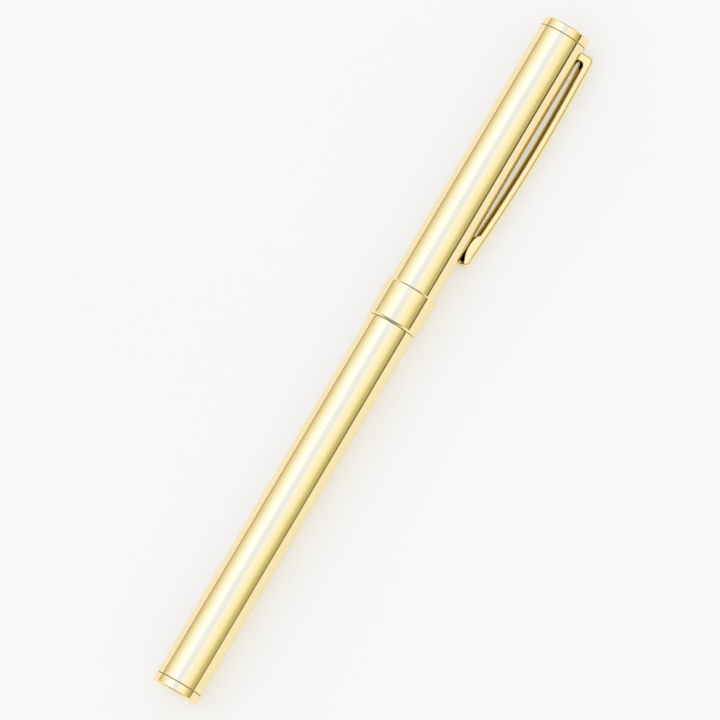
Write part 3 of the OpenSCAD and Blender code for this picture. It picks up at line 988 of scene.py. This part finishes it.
# ---- Nib holder ----
# Moulded insert in the nose. A flat slot keeps the nib from turning, and a round bore behind it
# lets the tail through.

NIB_WIDTH = 3.2 * MM
NIB_THICK = 1.6 * MM
TAIL_R = 1 * MM
SLOT_DEPTH = 3.4 * MM
SLOT_CUT = 5 * MM
slot_low = holder_high.x - SLOT_DEPTH
holder = turned(
    "nib_holder_moulded",
    [
        (holder_low.x, SPIGOT_R),
        (step_at, SPIGOT_R),
        (step_at, HOLDER_R),
        (holder_high.x - 0.1 * MM, HOLDER_R),
        (holder_high.x, HOLDER_R - 0.1 * MM),
        (holder_high.x, TAIL_R + PRESS),
        (holder_low.x, TAIL_R + PRESS),
    ],
    sides=96,
)


def cut_box(piece, middle, size, roll=0.0):
    # cuts a square opening through a turned piece
    bpy.ops.mesh.primitive_cube_add(size=1, location=middle)
    cutter = bpy.context.object
    cutter.rotation_euler = (roll, 0, 0)
    cutter.scale = size
    opening = piece.modifiers.new("opening", "BOOLEAN")
    opening.object = cutter
    opening.operation = "DIFFERENCE"
    opening.solver = "EXACT"
    apply_modifiers(piece)
    bpy.data.objects.remove(cutter)


cut_box(
    holder,
    (slot_low + SLOT_CUT / 2, AXIS_Y, AXIS_Z),
    (SLOT_CUT, NIB_WIDTH + 2 * PRESS, NIB_THICK + 2 * PRESS),
)
finish_edges(holder, 0.03 * MM, 60)
made_of(holder, dark_plastic, "dark_plastic", "section", "nib_holder")

# ---- Chisel nib ----
# Pressed from bonded felt and ground to a slanted broad edge, soaked with ink. Its round tail
# reaches back through the refill's nozzle into the ink core.

nib_low, nib_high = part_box("chisel_nib")
WEDGE = 3.2 * MM
SLANT = 0.9 * MM
EDGE_THICK = 0.4 * MM
BLANK = 1 * MM
bpy.ops.mesh.primitive_cube_add(size=1, location=(slot_low + BLANK / 2, AXIS_Y, AXIS_Z))
nib = bpy.context.object
name_piece(nib, "chisel_nib_felt")
nib.scale = (BLANK, NIB_WIDTH, NIB_THICK)
bpy.ops.object.transform_apply(location=True, rotation=True, scale=True)
bpy.ops.object.mode_set(mode="EDIT")
choose_faces(nib, lambda p: p.x > slot_low + BLANK - ONE_POINT)
bpy.ops.transform.translate(value=(nib_high.x - WEDGE - slot_low - BLANK, 0, 0))
bpy.ops.mesh.extrude_region_move(TRANSFORM_OT_translate={"value": (WEDGE, 0, 0)})
bpy.ops.transform.resize(
    value=(1, 1, EDGE_THICK / NIB_THICK), center_override=(nib_high.x, AXIS_Y, AXIS_Z)
)
mesh = bmesh.from_edit_mesh(nib.data)
thicker = 1 + SLANT / WEDGE * (NIB_THICK / EDGE_THICK - 1)
for vert in mesh.verts:
    if vert.co.x > nib_high.x - ONE_POINT and vert.co.y < AXIS_Y:
        vert.co.x -= SLANT
        vert.co.z = AXIS_Z + (vert.co.z - AXIS_Z) * thicker
bmesh.update_edit_mesh(nib.data)
bpy.ops.object.mode_set(mode="OBJECT")
tail = turned(
    "nib_tail",
    [
        (nib_low.x, TAIL_R - 0.3 * MM),
        (nib_low.x + 0.1 * MM, TAIL_R - 0.1 * MM),
        (nib_low.x + 0.35 * MM, TAIL_R),
        (slot_low + BLANK / 2, TAIL_R),
    ],
    solid=True,
    sides=48,
)
root = nib.modifiers.new("tail", "BOOLEAN")
root.object = tail
root.operation = "UNION"
root.solver = "EXACT"
apply_modifiers(nib)
bpy.data.objects.remove(tail)
finish_edges(nib, 0.12 * MM, 20, 3)
made_of(nib, ink_fibre, "ink_fibre", "section", "chisel_nib")

# ---- Snap ring ----
# Split ring of spring steel, sprung into the section's groove. The cap's liner clicks over it.
# Its crown is rounded, and its gap faces down.

snap_back, snap_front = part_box("snap_ring")
SNAP_OUT = 3.72 * MM
SNAP_IN = 3.34 * MM
SPLIT = 1.2 * MM
snap_mid = (snap_back.x + snap_front.x) / 2
snap_ring = turned(
    "snap_ring_split",
    [
        (snap_back.x, SNAP_OUT - 0.12 * MM),
        (snap_back.x + 0.15 * MM, SNAP_OUT - 0.03 * MM),
        (snap_mid, SNAP_OUT),
        (snap_front.x - 0.15 * MM, SNAP_OUT - 0.03 * MM),
        (snap_front.x, SNAP_OUT - 0.12 * MM),
        (snap_front.x, SNAP_IN),
        (snap_back.x, SNAP_IN),
    ],
    sides=128,
)
cut_box(snap_ring, (snap_mid, AXIS_Y, AXIS_Z - 3.7 * MM), (4 * MM, SPLIT, 2 * MM))
finish_edges(snap_ring, 0.03 * MM, 50)
made_of(snap_ring, spring_steel, "spring_steel", "clutch", "snap_ring")

# ---- Cap tube ----
# The same drawn tube, cut shorter, with a rectangular window near its top for the clip's root.
# The window is cut square, and its rim is broken by polishing.

cap_low, cap_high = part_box("cap_tube")
clip_low, clip_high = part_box("clip")
CLIP_WIDTH = 3.9 * MM
ROOT_DEPTH = 1.75 * MM
FLEX_GAP = 0.15 * MM
window_high = clip_high.x + FLEX_GAP
window_low = clip_high.x - ROOT_DEPTH - FLEX_GAP
WINDOW_HALF = CLIP_WIDTH / 2 + FLEX_GAP
CLIP_ROLL = radians(25.20527)
clip_out = Vector((0, -cos(CLIP_ROLL), -sin(CLIP_ROLL)))
clip_side = Vector((0, -sin(CLIP_ROLL), cos(CLIP_ROLL)))
axis_point = Vector((0, AXIS_Y, AXIS_Z))

stations = [
    cap_low.x,
    cap_low.x + RIM_LOOP,
    window_low - RIM_LOOP,
    window_low,
    window_high,
    cap_high.x,
]
cap_tube = turned(
    "cap_tube_drawn",
    [(x, TUBE_R) for x in stations] + [(x, BORE_R) for x in reversed(stations)],
)
only(cap_tube)
bpy.ops.object.mode_set(mode="EDIT")


def beside_window(p, margin):
    side = (p - axis_point).dot(clip_side)
    out = (p - axis_point).dot(clip_out)
    return window_low < p.x < window_high and abs(side) < WINDOW_HALF + margin and out > 0


# the wall is cut through along the window's two sides, the piece between is taken out, and the
# window's rim is closed between the outside and the bore
for side in (1, -1):
    choose_faces(cap_tube, lambda p: beside_window(p, 2 * FLEX_GAP))
    bpy.ops.mesh.bisect(
        plane_co=axis_point + clip_side * WINDOW_HALF * side, plane_no=clip_side
    )
choose_faces(cap_tube, lambda p: beside_window(p, 0))
bpy.ops.mesh.delete(type="FACE")
bpy.ops.mesh.select_all(action="DESELECT")
mesh = bmesh.from_edit_mesh(cap_tube.data)
for edge in mesh.edges:
    edge.select_set(edge.is_boundary)
bmesh.update_edit_mesh(cap_tube.data)
bpy.ops.mesh.bridge_edge_loops()
face_outwards()
finish_edges(cap_tube, 0.03 * MM)
made_of(cap_tube, gold_tube, "gold_tube", "cap", "cap_tube")

# ---- Cap band ----
# Turned brass ring pressed over the mouth of the cap, proud of the tube. A narrow bevel is turned
# on both its edges, and a lip covers the end of the tube.

band_low, band_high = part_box("cap_band")
BAND_R = (band_high.z - band_low.z) / 2
MOUTH_CHAMFER = 0.38 * MM
TOP_CHAMFER = 0.32 * MM
TOP_DROP = 0.2 * MM
BAND_LIP = 0.2 * MM
band_in_r = TUBE_R + PRESS
cap_band = turned(
    "cap_band_turned",
    [
        (band_low.x, BAND_R - MOUTH_CHAMFER),
        (band_low.x + MOUTH_CHAMFER, BAND_R),
        (band_low.x + 0.9 * MM, BAND_R),
        (band_high.x - 0.7 * MM, BAND_R),
        (band_high.x - TOP_CHAMFER, BAND_R),
        (band_high.x, BAND_R - TOP_DROP),
        (band_high.x, band_in_r),
        (band_low.x + BAND_LIP, band_in_r),
        (band_low.x + BAND_LIP, BORE_R),
        (band_low.x, BORE_R),
    ],
)
finish_edges(cap_band, 0.04 * MM, 25, 3)
made_of(cap_band, polished_gold, "polished_gold", "cap", "cap_band")

# ---- Cap liner ----
# Moulded sleeve pressed inside the cap's mouth. A shallow groove round its bore finds the snap
# ring, and its mouth is flared so that it leads the section in.

liner_low, liner_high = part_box("cap_liner")
LINER_R = 3.78 * MM
liner_groove_r = LINER_R + 0.08 * MM
cap_liner = turned(
    "cap_liner_moulded",
    [
        (liner_low.x, PRESSED_R),
        (liner_high.x, PRESSED_R),
        (liner_high.x, LINER_R + 0.1 * MM),
        (liner_high.x - 0.3 * MM, LINER_R),
        (snap_high + 0.05 * MM, LINER_R),
        (snap_high, liner_groove_r),
        (snap_low, liner_groove_r),
        (snap_low - 0.05 * MM, LINER_R),
        (liner_low.x + 0.15 * MM, LINER_R),
        (liner_low.x, LINER_R + 0.12 * MM),
    ],
    sides=128,
)
finish_edges(cap_liner, 0)
made_of(cap_liner, dark_plastic, "dark_plastic", "cap", "cap_liner")

# ---- Cap top plug ----
# The same turned head as on the barrel, on a longer spigot. A pocket in the spigot takes the
# clip's root, which the screw from inside the cap clamps there.

top_low, top_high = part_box("cap_top_plug")
SCREW_HOLE = 1.02 * MM
TONGUE = 1.9 * MM
POCKET_CUT = 4 * MM
top_plug = turned(
    "cap_top_plug_turned",
    plug_head(top_high.x, -1) + [(top_low.x, PRESSED_R), (top_low.x, SCREW_HOLE)],
    solid=True,
)
pocket_floor = TUBE_R - TONGUE - FLEX_GAP
pocket_middle = axis_point + clip_out * (pocket_floor + POCKET_CUT / 2)
cut_box(
    top_plug,
    (clip_high.x - ROOT_DEPTH / 2, pocket_middle.y, pocket_middle.z),
    (ROOT_DEPTH + 2 * FLEX_GAP, 2 * WINDOW_HALF, POCKET_CUT),
    CLIP_ROLL + pi / 2,
)
finish_edges(top_plug, 0.03 * MM, 28)
made_of(top_plug, polished_gold, "polished_gold", "cap", "cap_top_plug")
# the groove's floor and wall get the painted shade material
paint_shade_in_groove(top_plug, top_high.x, -1)

# ---- Inner cap ----
# Moulded milky cup that closes round the nib so that it doesn't dry out. The screw through its
# floor holds it and draws the top plug down.

inner_low, inner_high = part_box("inner_cap")
CUP_R = SLEEVE_FRONT_R + 0.1 * MM
CUP_FLOOR = 1.5 * MM
floor_at = inner_high.x - CUP_FLOOR
inner_cap = turned(
    "inner_cap_moulded",
    [
        (inner_low.x, PRESSED_R),
        (inner_high.x - 0.2 * MM, PRESSED_R),
        (inner_high.x, PRESSED_R - 0.2 * MM),
        (inner_high.x, SCREW_HOLE),
        (floor_at, SCREW_HOLE),
        (floor_at, CUP_R - 0.5 * MM),
        (floor_at - 0.15 * MM, CUP_R - 0.15 * MM),
        (floor_at - 0.5 * MM, CUP_R),
        (inner_low.x + 0.3 * MM, CUP_R),
        (inner_low.x, CUP_R + 0.2 * MM),
    ],
    sides=128,
)
finish_edges(inner_cap, 0.03 * MM)
made_of(inner_cap, milky_plastic, "milky_plastic", "cap", "inner_cap")

# ---- Inner cap seal ----
# Soft moulded ring at the cup's mouth. Its rounded lip closes on the back of the nose cone when
# the cap is on.

seal_low, seal_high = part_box("inner_cap_seal")
seal_out = (seal_high.z - seal_low.z) / 2
seal_in = SLEEVE_FRONT_R - PRESS
seal_mid = (seal_low.x + seal_high.x) / 2
seal_half = seal_high.x - seal_mid
LIP = 0.18 * MM
lip = []
for step in range(13):
    a = pi * (1 - step / 12)
    lip.append((seal_mid - seal_half * cos(a), seal_in + LIP * (1 - sin(a))))
cap_seal = turned(
    "inner_cap_seal_moulded",
    [(seal_low.x, seal_out), (seal_high.x, seal_out)] + lip,
    sides=128,
)
finish_edges(cap_seal, 0)
made_of(cap_seal, soft_rubber, "soft_rubber", "cap", "inner_cap_seal")

# ---- Clip screw ----
# Stainless cheese-head screw with a straight slot, driven from inside the cup into the top
# plug's spigot.

screw_low, screw_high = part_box("clip_screw")
HEAD_R = 1.9 * MM
SCREW_R = 1 * MM
HEAD_HEIGHT = 1 * MM
THREAD_R = SCREW_R - 0.15 * MM
head_top = screw_low.x + HEAD_HEIGHT
clip_screw = turned(
    "clip_screw_turned",
    [
        (screw_low.x, 0.5 * MM),
        (screw_low.x, HEAD_R - 0.15 * MM),
        (screw_low.x + 0.15 * MM, HEAD_R),
        (head_top, HEAD_R),
        (head_top, THREAD_R),
        (screw_high.x - 0.3 * MM, THREAD_R),
        (screw_high.x, THREAD_R - 0.25 * MM),
    ],
    solid=True,
    sides=96,
)
DRIVER_SLOT = (0.9 * MM, 5 * MM, 0.5 * MM)
cut_box(clip_screw, (screw_low.x, AXIS_Y, AXIS_Z), DRIVER_SLOT)
finish_edges(clip_screw, 0.03 * MM, 50)
made_of(clip_screw, spring_steel, "spring_steel", "cap", "clip_screw")

# ---- Clip ----
# One strip of spring brass pressed into a channel that is open towards the cap, bowed along its
# length and gold plated. The root turns in through the window, and both flanges widen to a
# rounded foot near the tip.

SHEET = 0.4 * MM
CHANNEL = 1.5 * MM
ROOT_R = TUBE_R + 2.45 * MM
TIP_R = TUBE_R + 1.85 * MM
BOW = 0.68 * MM
ELBOW = 0.9 * MM
INNER_BEND = 0.5 * MM
TONGUE_R = TUBE_R - TONGUE
TIP_LENGTH = 1.6 * MM
TIP_CORNER = 1.3 * MM
arm_low = clip_low.x + TIP_LENGTH
arm_high = clip_high.x - ELBOW
root_low = clip_high.x - ROOT_DEPTH


def back_height(x):
    t = (x - arm_low) / (arm_high - arm_low)
    return TIP_R + (ROOT_R - TIP_R) * t + 4 * BOW * t * (1 - t)


def half_width(x):
    # the strip's plan: straight sides, and a tip with round corners
    past = min(clip_low.x + TIP_CORNER - x, TIP_CORNER)
    if past <= 0:
        return CLIP_WIDTH / 2
    return CLIP_WIDTH / 2 - TIP_CORNER + sqrt(TIP_CORNER**2 - past**2)


# pairs of points along the strip: on its back, and on the flanges' edges
BEND_STEPS = 8
back = [(clip_high.x, TONGUE_R), (clip_high.x, ROOT_R - ELBOW - INNER_BEND)]
edge = [(root_low, TONGUE_R), (root_low, ROOT_R - CHANNEL - INNER_BEND)]
for step in range(BEND_STEPS + 1):
    a = pi / 2 * step / BEND_STEPS
    back.append((arm_high + ELBOW * cos(a), ROOT_R - ELBOW + ELBOW * sin(a)))
    edge.append(
        (root_low - INNER_BEND + INNER_BEND * cos(a), ROOT_R - CHANNEL - INNER_BEND * (1 - sin(a)))
    )

ARM_STEPS = 14
FOOT_LENGTH = 4.6 * MM
foot_high = arm_low + FOOT_LENGTH
arm_start = root_low - INNER_BEND
for step in range(1, ARM_STEPS + 1):
    x = arm_start + (foot_high - arm_start) * step / ARM_STEPS
    back.append((x, back_height(x)))
    edge.append((x, back_height(x) - CHANNEL))

FOOT_RISE = 2.6 * MM
FOOT_GAP = 0.08 * MM
FOOT_R = sqrt(TUBE_R**2 - (CLIP_WIDTH / 2 - SHEET) ** 2) + FOOT_GAP
foot_line = back_height(foot_high) - CHANNEL
for step in range(1, BEND_STEPS + 1):
    a = pi / 2 * step / BEND_STEPS
    x = foot_high - FOOT_RISE * (1 - cos(a))
    back.append((x, back_height(x)))
    edge.append((x, foot_line - (foot_line - FOOT_R) * sin(a)))

# the tip's back runs on a little, then curls over to meet the feet
TIP_STEPS = 12
TIP_ROUND = 0.75 * MM
TIP_CURL = radians(100)
BEFORE_CURL = 0.25
FOOT_LIFT = 0.9 * MM
foot_mid = foot_high - FOOT_RISE
foot_low = clip_low.x + 0.45 * MM
curl_at = clip_low.x + TIP_ROUND
for step in range(1, TIP_STEPS + 1):
    t = step / TIP_STEPS
    a = TIP_CURL * max(0, (t - BEFORE_CURL) / (1 - BEFORE_CURL))
    x = foot_mid + (curl_at - foot_mid) * min(1, t / BEFORE_CURL)
    back.append((x - TIP_ROUND * sin(a), back_height(x) - TIP_ROUND * (1 - cos(a))))
    edge.append((foot_mid + (foot_low - foot_mid) * t, FOOT_R + FOOT_LIFT * t * t))

FOLD = 0.85 * MM
LARGEST_FOLD = 0.6
FOLD_STEPS = 6
FLANGE_STEPS = 3
FLANGE_CROWN = 0.05 * MM
BACK_CROWN = 0.05 * MM


def half_section(on_back, on_edge):
    # from the middle of the back, round the fold and down the flange to its edge
    on_back, on_edge = Vector(on_back), Vector(on_edge)
    depth = (on_edge - on_back).length
    inward = (on_edge - on_back) / depth
    fold = min(FOLD, LARGEST_FOLD * depth, LARGEST_FOLD * half_width(on_back.x))
    spots = []
    for step in range(FOLD_STEPS + 1):
        a = pi / 2 * step / FOLD_STEPS
        spots.append((fold * (1 - cos(a)), fold * (1 - sin(a)), BACK_CROWN * cos(a)))
    for step in range(1, FLANGE_STEPS + 1):
        t = step / FLANGE_STEPS
        spots.append((fold + (depth - fold) * t, FLANGE_CROWN * t * t, 0))
    points = [(on_back.x, 0, on_back.y)]
    for down, narrower, crown in spots:
        x, r = on_back + inward * (down + (BACK_CROWN - crown) * (1 - down / depth))
        points.append((x, half_width(x) - narrower, r))
    return points


# the pressed section is drawn along the strip from one pair of points to the next
half = FOLD_STEPS + FLANGE_STEPS + 1
bpy.ops.mesh.primitive_circle_add(vertices=2 * half + 1, radius=1 * MM)
clip = bpy.context.object
name_piece(clip, "clip_pressed")
bpy.ops.object.mode_set(mode="EDIT")
mesh = bmesh.from_edit_mesh(clip.data)
spot = mesh.verts.layers.int.new("spot")
mesh.verts.ensure_lookup_table()
for vert in mesh.verts:
    vert[spot] = vert.index - half
ends = {mesh.verts[0], mesh.verts[-1]}
bmesh.ops.delete(mesh, geom=[e for e in mesh.edges if set(e.verts) == ends], context="EDGES")
bmesh.update_edit_mesh(clip.data)
bpy.ops.mesh.select_all(action="SELECT")
for i, (on_back, on_edge) in enumerate(zip(back, edge)):
    if i:
        bpy.ops.mesh.extrude_region_move(TRANSFORM_OT_translate={"value": (0, 0, 0)})
    section = half_section(on_back, on_edge)
    mesh = bmesh.from_edit_mesh(clip.data)
    spot = mesh.verts.layers.int["spot"]
    for vert in mesh.verts:
        if vert.select:
            x, y, r = section[abs(vert[spot])]
            vert.co = (x, y if vert[spot] > 0 else -y, r)
    bmesh.update_edit_mesh(clip.data)
bpy.ops.mesh.edge_face_add()
face_outwards()
# painted shade: the channel's inside gets a darker, rougher copy of the same gold plating
clip_inside_painted_shade = finish(
    "clip_inside_painted_shade",
    polish,
    {"Colour": (0.74, 0.6, 0.2), "Toned": (0.42, 0.33, 0.09), "Roughness": 0.1, "Smudge": 0.1},
    {"Metallic": 1},
    0.15,
    0.006 * MM,
)
clip.data.materials.append(polished_gold)
clip.data.materials.append(clip_inside_painted_shade)
wall = clip.modifiers.new("wall", "SOLIDIFY")
wall.thickness = SHEET
wall.offset = -1
wall.use_even_offset = True
# the inner faces of the wall take the painted shade material
wall.material_offset = 1
apply_modifiers(clip)
clip.rotation_euler = (CLIP_ROLL + pi / 2, 0, 0)
clip.location = (0, AXIS_Y, AXIS_Z)
only(clip)
bpy.ops.object.transform_apply(location=True, rotation=True, scale=True)
finish_edges(clip, 0.06 * MM, 60, 2)
made_of(clip, polished_gold, "polished_gold", "clip", "clip")
